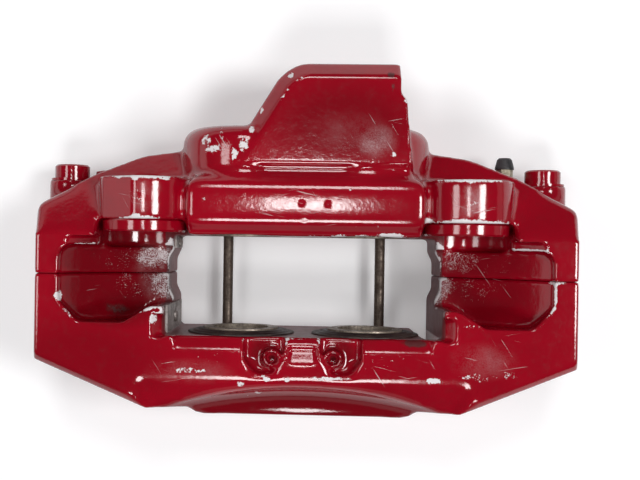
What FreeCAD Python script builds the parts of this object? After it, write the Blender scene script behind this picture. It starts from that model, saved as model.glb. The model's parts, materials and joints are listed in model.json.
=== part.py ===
"""Two-piece fixed brake caliper with four opposed pistons.

Working axes: X runs along the caliper, Y along the disc's axle towards the
suspension side, Z towards the axle. Y = 0 is the joint between the two castings
and Z = 0 is their flat face nearest the axle. Each finished piece is then placed
so that the origin lies midway between the two mounting threads, on the face of
the lugs that bears on the suspension.
"""

import FreeCAD, Part
import os
from types import SimpleNamespace
import Sketcher

SIZES = [
    # both castings
    ("waist_half", 148.5, "half length at the joint face"),
    ("window_half", 75.2, "half length of the window for the pads"),
    ("body_depth", 82.0, "near face to the flat of the back"),
    ("back_flat_half", 62.0, "half length of the flat on the back"),
    ("back_radius", 230.0, "curve of the back beyond the flat"),
    ("axle_height", 126.5, "near face to the disc's axle"),
    ("recess_radius", 185.0, "side recesses, about the axle"),
    ("near_half", 145.5, "half length of the near face"),
    ("draft_depth", 34.0, "depth of the sloping ends"),
    ("notch_depth", 2.8, "disc notch in the window's ends"),
    ("notch_half", 8.0, "half width of the disc notch at its bottom"),
    ("notch_mouth", 14.0, "half width of the disc notch at its mouth"),
    ("recess_half", 132.5, "half length of the recess at the near face"),
    ("recess_top", 15.8, "joint to the recess edge on the inboard side"),
    ("shelf_top", 20.6, "joint to the edge of the shelf above the recess"),
    ("shelf_radius", 180.5, "shelf above the recess, about the axle"),
    ("shelf_half", 130.0, "half length of the shelf above the recess"),
    ("recess_bottom", 26.0, "joint to the recess edge on the outboard side"),
    ("recess_end_drop", 14.5, "joint to the start of the recess corner"),
    ("recess_floor_out", 122.0, "outer end of the recess edge"),
    ("recess_floor_in", 97.5, "inner end of the recess edge"),
    ("horn_reach", 17.0, "joint to the top of the pad horns"),
    ("horn_width", 7.8, "top width of the pad horns"),
    ("cast_round", 7.0, "rounding of upright casting corners"),
    # outboard casting
    ("outer_shoulder_x", 151.5, "half length at the outboard shoulder"),
    ("outer_shoulder_y", 28.0, "joint to the outboard shoulder"),
    ("outer_corner_x", 149.0, "half length at the outboard corner"),
    ("outer_corner_y", 46.0, "joint to the outboard corner"),
    ("outer_foot_x", 84.0, "half length of the outboard foot"),
    ("outer_foot_y", 73.0, "joint to the outboard foot"),
    ("outer_face", 32.6, "joint to the outboard piston face"),
    ("outer_ledge", 39.5, "joint to the edge of the outboard near face"),
    ("ledge_drop", 4.0, "depth of the slope beside the piston face"),
    ("foot_bevel", 4.0, "bevel along the outboard foot"),
    ("foot_slope_start", 55.5, "joint to the top of the foot's slope"),
    ("foot_slope_fall", 9.0, "fall of the foot's slope"),
    ("foot_slope_half", 90.0, "half length of the top of the foot's slope"),
    ("foot_slope_flat", 78.0, "half length of the foot's slope at its foot"),
    ("relief_start", 66.0, "middle to the hollow in the window's outboard right corner"),
    ("relief_top", 7.0, "near face to the top of that hollow"),
    ("relief_depth", 9.5, "depth of that hollow at the back"),
    ("scoop_rise", 59.2, "joint to the middle of the scooped edge"),
    ("scoop_tube", 18.0, "radius of the scoop's hollow"),
    ("lip_half", 65.0, "half length of the cylinder cover"),
    ("lip_reach", 77.0, "joint to the outboard end of the cylinder cover"),
    ("lip_top", 14.0, "near face to the top of the cylinder cover"),
    ("lip_foot", 4.0, "flat of the back to the underside of the cylinder cover"),
    ("lip_round", 11.0, "rounding of the cylinder cover's ends"),
    ("plug_pocket_x", 20.5, "middle to each plug pocket"),
    ("plug_pocket_half", 11.0, "half width of a plug pocket"),
    ("plug_pocket_end", 52.0, "joint to the end of a plug pocket"),
    ("plug_pocket_depth", 6.5, "depth of a plug pocket"),
    ("plug_pocket_straight", 12.0, "straight sides of a plug pocket"),
    ("plug_pocket_flat", 5.0, "half width of the far end of a plug pocket"),
    ("plug_x", 16.5, "middle to each passage plug"),
    ("plug_y", 44.0, "joint to the passage plugs"),
    ("plug_boss_radius", 5.2, "boss round a passage plug"),
    ("plug_radius", 3.0, "passage plug"),
    ("plug_length", 8.0, "passage plug"),
    ("plug_chamfer", 1.4, "plug below the top of its well"),
    ("plug_socket", 1.9, "corner radius of a plug's socket"),
    ("plug_socket_deep", 3.2, "depth of a plug's socket"),
    ("plug_boss_sunk", 1.6, "near face to the top of a plug boss"),
    ("plug_sunk", 3.0, "top of a plug boss to its plug"),
    ("facet_half", 8.2, "half width of the slope between the plug pockets"),
    ("facet_start", 46.5, "joint to the top of that slope"),
    ("facet_end", 37.5, "joint to the foot of that slope"),
    # inboard casting
    ("inner_shoulder_x", 151.0, "half length at the inboard shoulder"),
    ("inner_shoulder_y", 24.5, "joint to the inboard shoulder"),
    ("inner_corner_x", 149.6, "half length at the inboard corner"),
    ("inner_corner_y", 36.8, "joint to the inboard corner"),
    ("arch_a_x", 135.5, "arch, first corner"),
    ("arch_a_y", 45.0, "arch, first corner"),
    ("arch_b_x", 118.0, "arch, second corner"),
    ("arch_b_y", 55.3, "arch, second corner"),
    ("arch_c_x", 92.0, "arch, third corner"),
    ("arch_c_y", 66.6, "arch, third corner"),
    ("arch_d_x", 66.0, "arch, fourth corner"),
    ("arch_d_y", 70.4, "arch, fourth corner"),
    ("arch_round", 36.0, "rounding of the arch's corners"),
    ("slope_start", 23.0, "joint to the top of the arch's slope"),
    ("slope_end", 75.0, "joint to the foot of the arch's slope"),
    ("slope_fall", 37.0, "fall of the arch's slope"),
    ("inner_face", 21.6, "joint to the inboard piston face"),
    ("band_left", 63.6, "middle to the left end of the middle band"),
    ("band_right", 64.4, "middle to the right end of the middle band"),
    ("band_top", 54.4, "joint to the upper edge of the middle band"),
    ("band_bevel", 6.6, "width of the bevel beside the piston face"),
    ("band_rise", 5.0, "middle band above the near face"),
    ("band_round", 8.0, "rounding of the middle band's ends"),
    ("band_edge", 3.6, "rounding along the middle band"),
    ("bulge_radius", 34.5, "cylinder housing"),
    ("bulge_end", 82.0, "joint to the closed end of the cylinder housings"),
    ("bulge_round", 9.0, "rounding of the housing ends"),
    ("block_foot_left", 46.0, "middle to the left foot of the cast block"),
    ("block_foot_y", 60.4, "joint to the foot of the cast block"),
    ("block_knee_x", 30.0, "middle to the knee of the slanted side"),
    ("block_knee_y", 83.5, "joint to the knee of the slanted side"),
    ("block_hip_x", 15.0, "middle to the upper end of the slanted side"),
    ("block_hip_y", 108.0, "joint to the upper end of the slanted side"),
    ("block_top_left", 5.0, "middle to the left end of the block's top"),
    ("block_top", 116.0, "joint to the top of the cast block"),
    ("block_right", 50.6, "middle to the right side of the block's top"),
    ("block_step", 3.2, "step in the right side"),
    ("block_step_y", 98.5, "joint to the step in the right side"),
    ("block_foot_right", 57.2, "middle to the right foot of the cast block"),
    ("block_base", 52.0, "near face to the underside of the cast block"),
    ("block_bevel", 8.0, "bevel of the block's slanted side and top"),
    ("block_round", 20.0, "rounding between the block's slanted side and top"),
    ("block_root_sunk", 2.4, "near face to the top of the block's root"),
    # mounting lugs
    ("lug_x", 88.2, "middle to each mounting thread"),
    ("lug_z", 15.0, "near face to the mounting threads"),
    ("lug_radius", 25.0, "mounting lug"),
    ("lug_root", 23.8, "half width of a mounting lug's root"),
    ("lug_start", 30.0, "joint to the disc side of the lugs"),
    ("lug_face", 53.0, "joint to the bearing face of the lugs"),
    ("lug_flat_near", 2.5, "middle of the left lug to its flat"),
    ("lug_flat_far", 22.4, "middle of the left lug to the far end of its flat"),
    ("lug_flat_fall", 13.0, "fall of the left lug's flat"),
    ("flange_radius", 23.0, "flange of a mounting bush"),
    ("flange_thick", 6.8, "flange of a mounting bush"),
    ("flange_room", 1.6, "room round a bush flange"),
    ("barrel_radius", 9.5, "barrel of a mounting bush"),
    ("mount_thread", 6.2, "inner radius of the mounting thread"),
    ("bush_fit", 0.05, "clearance round a mounting bush"),
    # cylinders
    ("piston_x", 35.0, "middle to each piston"),
    ("piston_z", 33.0, "near face to the pistons"),
    ("piston_radius", 21.0, "piston"),
    ("piston_length", 27.0, "piston"),
    ("piston_proud", 3.1, "retracted piston beyond its face"),
    ("cup_radius", 15.5, "hollow of a piston"),
    ("cup_depth", 20.0, "hollow of a piston"),
    ("boot_groove_depth", 1.8, "boot groove in a piston"),
    ("boot_groove_start", 1.6, "rim to the boot groove"),
    ("boot_groove_width", 2.4, "boot groove in a piston"),
    ("slide_fit", 0.05, "radial clearance of a sliding fit"),
    ("bore_depth", 28.0, "cylinder bore"),
    ("seal_thick", 3.0, "radial thickness of a piston seal"),
    ("seal_width", 3.6, "piston seal"),
    ("seal_depth", 9.0, "piston face to the seal"),
    ("groove_fit", 0.1, "clearance round a seal in its groove"),
    ("boot_radius", 30.0, "dust boot"),
    ("boot_skin", 1.0, "dust boot flange"),
    ("boot_step", 4.0, "width of a dust boot's raised part"),
    ("boot_sunk", 3.2, "inboard boots below the inboard piston face"),
    # fasteners and pins
    ("end_bolt_x", 138.0, "middle to the outer bridge bolts"),
    ("end_bolt_z", 53.0, "near face to the outer bridge bolts"),
    ("end_boss_radius", 13.0, "boss under an outer bolt head"),
    ("near_bolt_x", 94.0, "middle to the inner bridge bolts"),
    ("near_bolt_z", 60.0, "near face to the inner bridge bolts"),
    ("near_bolt_seat", 44.0, "joint to the seat of the inner bolt heads"),
    ("near_bolt_well", 11.2, "well round an inner bolt head"),
    ("near_washer_radius", 10.8, "washer face of an inner bridge bolt"),
    ("bolt_radius", 6.0, "bridge bolt"),
    ("bolt_fit", 0.05, "clearance round a bridge bolt"),
    ("bolt_head_radius", 10.2, "bridge bolt head"),
    ("bolt_head_tall", 8.0, "bridge bolt head"),
    ("bolt_socket", 5.8, "corner radius of a bolt's socket"),
    ("end_washer_radius", 12.2, "washer face of an outer bridge bolt"),
    ("socket_floor", 2.0, "washer face to the floor of a bolt's socket"),
    ("washer_thick", 1.4, "washer face of a bridge bolt"),
    ("end_bolt_grip", 36.0, "outer bolt's thread in the outboard casting"),
    ("near_bolt_grip", 50.0, "inner bolt's thread in the outboard casting"),
    ("blind_room", 3.0, "free hole beyond a screw's end"),
    ("pin_x", 45.6, "middle to each pad pin"),
    ("pin_z", 68.0, "near face to the pad pins"),
    ("pin_radius", 3.0, "pad pin"),
    ("pin_grip", 26.0, "pad pin in the inboard casting"),
    ("pin_head_radius", 4.6, "pad pin head"),
    ("pin_head_thick", 2.4, "pad pin head"),
    ("pin_head_room", 0.8, "room round a pad pin head"),
    ("pin_sleeve_radius", 3.9, "spring sleeve on a pad pin"),
    ("pin_sleeve_length", 12.0, "spring sleeve on a pad pin"),
    ("pin_sleeve_slot", 1.2, "slot in a spring sleeve"),
    ("plate_thick", 1.2, "pad abutment plate"),
    ("inner_plate_width", 7.2, "inboard plate along the disc's axle"),
    ("outer_plate_top", 9.5, "near face to the top of the outboard plate"),
    ("inner_plate_top", 44.5, "near face to the top of the inboard plate"),
    ("plate_foot", 72.0, "near face to the foot of both plates"),
    ("plate_screw_radius", 2.0, "abutment plate screw"),
    ("plate_screw_length", 8.0, "abutment plate screw"),
    ("plate_screw_head", 3.4, "abutment plate screw head"),
    ("plate_screw_tall", 1.6, "abutment plate screw head"),
    ("plate_screw_socket", 1.3, "corner radius of a plate screw's socket"),
    # hydraulics
    ("gallery_radius", 2.0, "cross passages for oil"),
    ("riser_radius", 2.5, "passages that meet the cross passages"),
    ("gallery_z", 37.0, "near face to the oil passages"),
    ("inner_gallery", 46.5, "joint to the inboard cross passage"),
    ("outer_gallery", 57.0, "joint to the outboard cross passage"),
    ("crossover_x", 108.0, "middle to the passages across the joint"),
    ("ring_radius", 4.2, "crossover seal, centre line"),
    ("ring_section", 0.9, "crossover seal, section radius"),
    ("bleed_x", 117.0, "middle to the bleed screw"),
    ("bleed_z", 58.0, "near face to the bleed screw"),
    ("bleed_boss_top", 58.6, "joint to the face of the bleed boss"),
    ("bleed_boss_radius", 8.0, "bleed boss"),
    ("bleed_thread", 4.0, "bleed screw thread"),
    ("bleed_hex", 5.0, "bleed screw hexagon, corner radius"),
    ("bleed_nipple", 3.0, "bleed screw nipple"),
    ("bleed_gap", 0.4, "bleed boss to the bleed screw's hexagon"),
    ("bleed_hex_tall", 4.0, "bleed screw hexagon"),
    ("bleed_lip", 0.5, "lip of the bleed nipple"),
    ("bleed_neck", 3.2, "top of the bleed screw to the foot of its lip"),
    ("bleed_crown", 2.4, "top of the bleed screw to the lip"),
    ("bleed_drilling", 1.0, "drilling of the bleed screw"),
    ("bleed_tall", 9.6, "bleed screw above its boss"),
    ("bleed_deep", 9.0, "bleed screw in its boss"),
    ("bleed_fit", 0.2, "clearance round the bleed screw"),
    ("cap_wall", 1.7, "top of the bleed cap"),
    ("cap_start", 4.6, "bleed boss to the foot of its cap"),
    ("cap_foot_radius", 5.5, "foot of the bleed cap"),
    ("cap_top_radius", 4.3, "top of the bleed cap"),
    ("cap_fit", 0.05, "clearance inside the bleed cap"),
    ("hose_x", 114.0, "middle to the hose port"),
    ("hose_z", 52.0, "near face to the hose port"),
    ("hose_thread", 4.45, "inner radius of the hose port's thread"),
    ("hose_deep", 12.0, "hose port"),
    ("hose_insert_radius", 6.6, "threaded insert of the hose port"),
    ("hose_boss_radius", 9.6, "hose port boss"),
    ("hose_boss_top", 59.0, "joint to the hose port's face"),
]

doc = FreeCAD.newDocument("fixed_caliper")
sheet = doc.addObject("Spreadsheet::Sheet", "dims")
for row, (alias, value, meaning) in enumerate(SIZES, start=1):
    sheet.set(f"A{row}", meaning)
    sheet.set(f"B{row}", str(value))
    sheet.setAlias(f"B{row}", alias)
doc.recompute()

VECTOR = FreeCAD.Vector
ALONG = {"x": VECTOR(1, 0, 0), "y": VECTOR(0, 1, 0), "z": VECTOR(0, 0, 1)}
# a sketch plane's turn, and the way its shape is extruded
PLANES = {
    "top": (FreeCAD.Rotation(), "z"),
    "side": (FreeCAD.Rotation(ALONG["x"], 90), "y"),
    "end": (FreeCAD.Rotation(VECTOR(1, 1, 1), 120), "x"),
}


class Size:
    """A length made from the sheet's cells. Sums of sizes keep their expression."""

    def __init__(self, value, text):
        self.value = value
        self.text = text

    def __add__(self, other):
        other = sized(other)
        return Size(self.value + other.value, f"({self.text} + {other.text})")

    def __sub__(self, other):
        other = sized(other)
        return Size(self.value - other.value, f"({self.text} - {other.text})")

    def __mul__(self, number):
        return Size(self.value * number, f"({self.text} * {number})")

    def __neg__(self):
        return self * -1


def sized(number):
    """A plain number as a Size."""
    return number if isinstance(number, Size) else Size(float(number), f"{number}")


D = SimpleNamespace(**{alias: Size(value, f"dims.{alias}") for alias, value, _ in SIZES})


# ---- building blocks, each tied to the sheet


def bind(thing, prop, size):
    thing.setExpression(prop, sized(size).text)


def set_base(thing, place):
    for letter, size in zip("xyz", place):
        bind(thing, f"Placement.Base.{letter}", size)


def pin_corner(sketch, line, size, kind, axis):
    """Ties the start of a line to the sketch's origin along one direction."""
    size = sized(size)
    if abs(size.value) < 1e-9:
        sketch.addConstraint(Sketcher.Constraint("PointOnObject", line, 1, axis))
        return
    index = sketch.addConstraint(Sketcher.Constraint(kind, -1, 1, line, 1, size.value))
    sketch.setExpression(f"Constraints[{index}]", size.text)


def draw(sketch, corners):
    """A closed outline of straight lines whose corners are tied to the sheet."""
    points = [VECTOR(sized(u).value, sized(v).value, 0) for u, v in corners]
    count = len(points)
    for i, point in enumerate(points):
        sketch.addGeometry(Part.LineSegment(point, points[(i + 1) % count]), False)
    for i in range(count):
        sketch.addConstraint(Sketcher.Constraint("Coincident", i, 2, (i + 1) % count, 1))
    for i, (u, v) in enumerate(corners):
        pin_corner(sketch, i, u, "DistanceX", -2)
        pin_corner(sketch, i, v, "DistanceY", -1)


def prism(name, plane, corners, start, length):
    """An outline in one of the PLANES, extruded from start."""
    turn, way = PLANES[plane]
    sketch = doc.addObject("Sketcher::SketchObject", f"{name}_outline")
    draw(sketch, corners)
    sketch.Placement = FreeCAD.Placement(VECTOR(), turn)
    bind(sketch, f"Placement.Base.{way}", start)
    solid = doc.addObject("Part::Extrusion", name)
    solid.Base = sketch
    solid.DirMode = "Custom"
    solid.Dir = ALONG[way]
    solid.Solid = True
    bind(solid, "LengthFwd", length)
    return solid


def mirrored(corners):
    """Right-hand corners followed by their mirror image in X."""
    return corners + [(-sized(x), y) for x, y in reversed(corners)]


def rod(name, way, radius, length, place):
    solid = doc.addObject("Part::Cylinder", name)
    solid.Placement = FreeCAD.Placement(VECTOR(), FreeCAD.Rotation(ALONG["z"], ALONG[way]))
    bind(solid, "Radius", radius)
    bind(solid, "Height", length)
    set_base(solid, place)
    return solid


def box(name, low, high):
    solid = doc.addObject("Part::Box", name)
    for prop, a, b in zip(("Length", "Width", "Height"), low, high):
        bind(solid, prop, sized(b) - a)
    set_base(solid, low)
    return solid


def hexagon(name, way, corner_radius, length, place):
    solid = doc.addObject("Part::Prism", name)
    solid.Polygon = 6
    solid.Placement = FreeCAD.Placement(VECTOR(), FreeCAD.Rotation(ALONG["z"], ALONG[way]))
    bind(solid, "Circumradius", corner_radius)
    bind(solid, "Height", length)
    set_base(solid, place)
    return solid


def fuse(name, solids):
    joined = doc.addObject("Part::MultiFuse", name)
    joined.Shapes = solids
    return joined


def common(name, solids):
    shared = doc.addObject("Part::MultiCommon", name)
    shared.Shapes = solids
    return shared


def cut(name, base, tools):
    """The base without the tools."""
    result = doc.addObject("Part::Cut", name)
    result.Base = base
    result.Tool = tools[0] if len(tools) == 1 else fuse(f"{name}_tools", tools)
    return result


def eased(name, base, radius, wanted, kind="Part::Fillet"):
    """Fillets or bevels the base's edges for which wanted(edge) is true."""
    doc.recompute()
    result = doc.addObject(kind, name)
    result.Base = base
    chosen = [i for i, edge in enumerate(base.Shape.Edges, start=1) if wanted(edge)]
    result.Edges = [(i, radius.value, radius.value) for i in chosen]
    return result


def runs(way):
    """A test for edges parallel to an axis."""
    return lambda edge: abs(abs(edge.tangentAt(edge.FirstParameter).dot(ALONG[way])) - 1) < 1e-6


def turned(name, profile):
    """A body turned about Y from (radius, height) corners."""
    body = doc.addObject("PartDesign::Body", name)
    sketch = body.newObject("Sketcher::SketchObject", f"{name}_profile")
    plane = next(p for p in body.Origin.OriginFeatures if p.Role == "XY_Plane")
    sketch.AttachmentSupport = [(plane, "")]
    sketch.MapMode = "FlatFace"
    draw(sketch, profile)
    turn = body.newObject("PartDesign::Revolution", f"{name}_turn")
    turn.Profile = sketch
    turn.ReferenceAxis = (sketch, ["V_Axis"])
    turn.Angle = 360
    body.Tip = turn
    return body


PARTS = []


def finish(name, thing, place=(0, 0, 0), flipped=False):
    """Labels a sub-part and puts it in the shared frame."""
    if flipped:
        thing.Placement = FreeCAD.Placement(VECTOR(), FreeCAD.Rotation(ALONG["z"], 180))
    x, y, z = place
    set_base(thing, (x, sized(y) - D.lug_face, sized(z) + D.lug_z))
    thing.Label = name
    PARTS.append(thing)


def pair(name, right):
    """A part and its mirror image in X, as one group of two solids."""
    left = doc.addObject("Part::Mirroring", f"{name}_mirror")
    left.Source = right
    left.Normal = ALONG["x"]
    group = doc.addObject("Part::Compound", name)
    group.Links = [right, left]
    return group


# ---- shapes that both castings share

HALF_SPAN = D.outer_shoulder_x
BACK_DROP = D.body_depth
disc_zone = rod("disc_zone", "y", D.recess_radius, 160, (0, -80, D.axle_height))
recess_walls = prism(
    "recess_walls",
    "top",
    mirrored(
        [
            (D.recess_half, D.recess_top),
            (D.recess_half, -D.recess_end_drop),
            (D.recess_floor_out, -D.recess_bottom),
            (D.recess_floor_in, -D.recess_bottom),
            (D.window_half + D.horn_width, -D.horn_reach),
            (D.window_half - 1, -D.horn_reach),
        ]
    ),
    -BACK_DROP,
    BACK_DROP + 40,
)
recess_rounded = eased("recess_rounded", recess_walls, D.cast_round, lambda edge: (
    runs("z")(edge) and abs(edge.Vertexes[0].X) > D.window_half.value + 1
))
recess = common("recess", [recess_rounded, disc_zone])
shelf = common("shelf", [
    rod("shelf_zone", "y", D.shelf_radius, D.shelf_top - D.recess_top + 1,
        (0, D.recess_top - 1, D.axle_height)),
    box("shelf_ends", (-D.shelf_half, D.recess_top - 1, -BACK_DROP), (D.shelf_half, D.shelf_top, 40)),
])
notch = prism(
    "disc_notch",
    "top",
    mirrored(
        [
            (D.window_half - 1, D.notch_mouth),
            (D.window_half, D.notch_mouth),
            (D.window_half + D.notch_depth, D.notch_half),
            (D.window_half + D.notch_depth, -D.notch_half),
            (D.window_half, -D.notch_mouth),
            (D.window_half - 1, -D.notch_mouth),
        ]
    ),
    -BACK_DROP - 1,
    BACK_DROP + 30,
)
end_slopes = [
    prism(
        f"end_slope_{side}",
        "side",
        [
            (D.near_half * side, 1),
            (D.near_half * side, 0),
            ((HALF_SPAN + 0.5) * side, -D.draft_depth),
            ((HALF_SPAN + 3) * side, -D.draft_depth),
            ((HALF_SPAN + 3) * side, 1),
        ],
        -D.outer_foot_y,
        D.outer_foot_y + D.lug_face,
    )
    for side in (1, -1)
]
window = box(
    "pad_window",
    (-D.window_half, -D.outer_face, -BACK_DROP - 1),
    (D.window_half, D.inner_face, 40),
)


def envelope(name):
    """What lies between the near face and the curved back, seen along the disc's axle."""
    slab = box(f"{name}_slab", (-HALF_SPAN, -100, -BACK_DROP), (HALF_SPAN, 130, 0))
    middle = box(f"{name}_middle", (-D.back_flat_half, -100, -BACK_DROP), (D.back_flat_half, 130, 0))
    sides = [
        rod(f"{name}_curve_{i}", "y", D.back_radius, 230, (x, -100, D.back_radius - BACK_DROP))
        for i, x in enumerate((D.back_flat_half, -D.back_flat_half))
    ]
    return common(name, [slab, fuse(f"{name}_round", [middle] + sides)])


def bolt_holes(name, start, end):
    """Holes for the four bridge bolts between two heights."""
    return [
        rod(f"{name}_{kind}_{side}", "y", D.bolt_radius + D.bolt_fit, end[kind] - start[kind],
            (x * side, start[kind], -z))
        for kind, x, z in (("end", D.end_bolt_x, D.end_bolt_z), ("near", D.near_bolt_x, D.near_bolt_z))
        for side in (1, -1)
    ]


def cylinders(name, face, way):
    """Bores with their seal grooves, cut from a piston face in the way given (1 or -1)."""
    tools = []
    for side in (1, -1):
        x = D.piston_x * side
        for kind, radius, near, far in (
            ("bore", D.piston_radius + D.slide_fit, sized(-1), D.bore_depth),
            (
                "seal",
                D.piston_radius + D.seal_thick + D.groove_fit,
                D.seal_depth - D.groove_fit,
                D.seal_depth + D.seal_width + D.groove_fit,
            ),
        ):
            low = near if way > 0 else -far
            start = face * way + low
            tools.append(rod(f"{name}_{kind}_{side}", "y", radius, far - near, (x, start, -D.piston_z)))
    return tools


# ---- outboard casting


def outboard_half():
    blank = prism(
        "outboard_blank",
        "top",
        mirrored(
            [
                (D.window_half, -D.outer_face),
                (D.window_half, 0),
                (D.waist_half, 0),
                (D.outer_shoulder_x, -D.outer_shoulder_y),
                (D.outer_corner_x, -D.outer_corner_y),
                (D.outer_foot_x, -D.outer_foot_y),
            ]
        ),
        -BACK_DROP,
        BACK_DROP,
    )
    foot = D.outer_shoulder_y.value
    bevelled = eased(
        "outboard_bevelled",
        blank,
        D.foot_bevel,
        lambda edge: edge.CenterOfMass.z > -1e-6 and edge.CenterOfMass.y < -foot - 10,
        "Part::Chamfer",
    )
    lip = prism(
        "cylinder_cover",
        "top",
        mirrored([(D.lip_half, -D.outer_ledge), (D.lip_half, -D.lip_reach)]),
        -BACK_DROP + D.lip_foot,
        BACK_DROP - D.lip_foot - D.lip_top,
    )
    lip_rounded = eased("cylinder_cover_rounded", lip, D.lip_round, lambda edge: (
        runs("z")(edge) and edge.CenterOfMass.y < -D.outer_foot_y.value
    ))
    trimmed = common("outboard_trimmed", [bevelled, envelope("outboard_envelope")])
    body = fuse("outboard_body", [trimmed, lip_rounded])
    # the scoop is a ring-shaped hollow whose outer edge passes through the foot's corners
    rise = D.outer_foot_y.value - D.scoop_rise.value
    sweep = (D.outer_foot_x.value ** 2 + rise ** 2) / (2 * rise)
    sweep_text = (
        "((dims.outer_foot_x ^ 2 + (dims.outer_foot_y - dims.scoop_rise) ^ 2)"
        " / (2 * (dims.outer_foot_y - dims.scoop_rise)))"
    )
    scoop_sweep = Size(sweep, sweep_text)
    scoop = doc.addObject("Part::Torus", "scoop")
    bind(scoop, "Radius1", scoop_sweep - D.scoop_tube)
    bind(scoop, "Radius2", D.scoop_tube)
    set_base(scoop, (0, -D.scoop_rise - scoop_sweep, 0))
    ledge_slope = prism(
        "ledge_slope",
        "end",
        [
            (-D.outer_ledge, 1),
            (-D.outer_ledge, 0),
            (-D.outer_face, -D.ledge_drop),
            (-D.outer_face + 1, -D.ledge_drop),
            (-D.outer_face + 1, 1),
        ],
        -D.window_half + 6,
        D.window_half * 2 - 12,
    )
    horn_slopes = [
        prism(
            f"horn_slope_{side}",
            "side",
            [
                ((D.window_half - 1) * side, 1),
                ((D.window_half + D.horn_width - 1) * side, 1),
                ((D.window_half + D.horn_width - 1) * side, 0),
                (D.window_half * side, -D.horn_width),
                ((D.window_half - 1) * side, -D.horn_width),
            ],
            -D.outer_face - 1,
            D.outer_face - D.horn_reach - 3,
        )
        for side in (1, -1)
    ]
    foot_plane = prism(
        "foot_plane",
        "end",
        [
            (-D.foot_slope_start, 1),
            (-D.foot_slope_start, 0),
            (-D.outer_foot_y, -D.foot_slope_fall),
            (-D.outer_foot_y - 1, -D.foot_slope_fall),
            (-D.outer_foot_y - 1, 1),
        ],
        -HALF_SPAN,
        HALF_SPAN * 2,
    )
    foot_ends = prism(
        "foot_ends",
        "side",
        [
            (-D.foot_slope_half, 0),
            (-D.foot_slope_flat, -D.foot_slope_fall - 0.1),
            (D.foot_slope_flat, -D.foot_slope_fall - 0.1),
            (D.foot_slope_half, 0),
            (D.foot_slope_half, 2),
            (-D.foot_slope_half, 2),
        ],
        -D.outer_foot_y - 2,
        D.outer_foot_y,
    )
    foot_slope = common("foot_slope", [foot_plane, foot_ends])
    relief = prism(
        "window_relief",
        "end",
        [
            (-D.outer_face + 1, -D.relief_top),
            (-D.outer_face, -D.relief_top),
            (-D.outer_face - D.relief_depth, -BACK_DROP - 1),
            (-D.outer_face + 1, -BACK_DROP - 1),
        ],
        D.relief_start,
        D.window_half - D.relief_start,
    )
    pockets = [plug_pocket(side) for side in (1, -1)]
    plug_foot = D.plug_length + D.plug_boss_sunk + D.plug_sunk
    plug_wells = [
        rod(f"plug_well_{side}", "z", D.plug_radius + D.slide_fit, plug_foot + 1,
            (D.plug_x * side, -D.plug_y, -plug_foot))
        for side in (1, -1)
    ]
    plug_drillings = [
        rod(f"plug_drilling_{side}", "z", D.gallery_radius, D.piston_z,
            (D.plug_x * side, -D.plug_y, -D.piston_z))
        for side in (1, -1)
    ]
    facet = prism(
        "middle_facet",
        "end",
        [
            (-D.facet_start, 1),
            (-D.facet_start, 0),
            (-D.facet_end, -D.ledge_drop),
            (-D.facet_end, 1),
        ],
        -D.facet_half,
        D.facet_half * 2,
    )
    shell = cut(
        "outboard_shell",
        body,
        [scoop, recess, notch, window, relief, ledge_slope, facet, foot_slope]
        + horn_slopes + pockets + end_slopes,
    )
    bosses = [
        rod(f"plug_boss_{side}", "z", D.plug_boss_radius, D.plug_pocket_depth + 2,
            (D.plug_x * side, -D.plug_y, -D.plug_pocket_depth - D.plug_boss_sunk - 2))
        for side in (1, -1)
    ]
    bossed = fuse("outboard_bossed", [shell] + bosses)
    pin_holes = []
    for side in (1, -1):
        x = D.pin_x * side
        pin_holes += [
            rod(f"outer_pin_hole_{side}", "y", D.pin_radius + D.slide_fit, D.lip_reach,
                (x, -D.lip_reach, -D.pin_z)),
            rod(f"sleeve_well_{side}", "y", D.pin_sleeve_radius + D.slide_fit,
                D.pin_sleeve_length + D.pin_head_thick, (x, -D.lip_reach, -D.pin_z)),
            rod(f"pin_head_well_{side}", "y", D.pin_head_radius + D.pin_head_room, D.pin_head_thick,
                (x, -D.lip_reach, -D.pin_z)),
        ]
    start = {"end": -D.end_bolt_grip - D.blind_room, "near": -D.near_bolt_grip - D.blind_room}
    holes = bolt_holes("outer_bolt", start, {"end": sized(1), "near": sized(1)})
    galleries = [
        rod("outer_gallery", "x", D.gallery_radius, D.crossover_x * 2,
            (-D.crossover_x, -D.outer_gallery, -D.gallery_z))
    ] + [
        rod(f"outer_crossover_{side}", "y", D.riser_radius, D.outer_gallery + D.riser_radius,
            (D.crossover_x * side, -D.outer_gallery - D.riser_radius, -D.gallery_z))
        for side in (1, -1)
    ]
    casting = cut(
        "outboard_casting",
        bossed,
        cylinders("outer", D.outer_face, -1) + pin_holes + holes + galleries + plug_wells + plug_drillings
        + [plate_screw_hole("outboard")],
    )
    finish("outboard_half", casting)


def plug_pocket(side):
    """A half-octagon pocket in the outboard near face, open towards the window."""
    mid = D.plug_pocket_x * side
    half = D.plug_pocket_half
    knee = -D.outer_face - D.plug_pocket_straight
    return prism(
        f"plug_pocket_{side}",
        "top",
        [
            (mid - half, -D.outer_face + 1),
            (mid - half, knee),
            (mid - D.plug_pocket_flat, -D.plug_pocket_end),
            (mid + D.plug_pocket_flat, -D.plug_pocket_end),
            (mid + half, knee),
            (mid + half, -D.outer_face + 1),
        ],
        -D.plug_pocket_depth,
        D.plug_pocket_depth + 1,
    )


# ---- inboard casting


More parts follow.
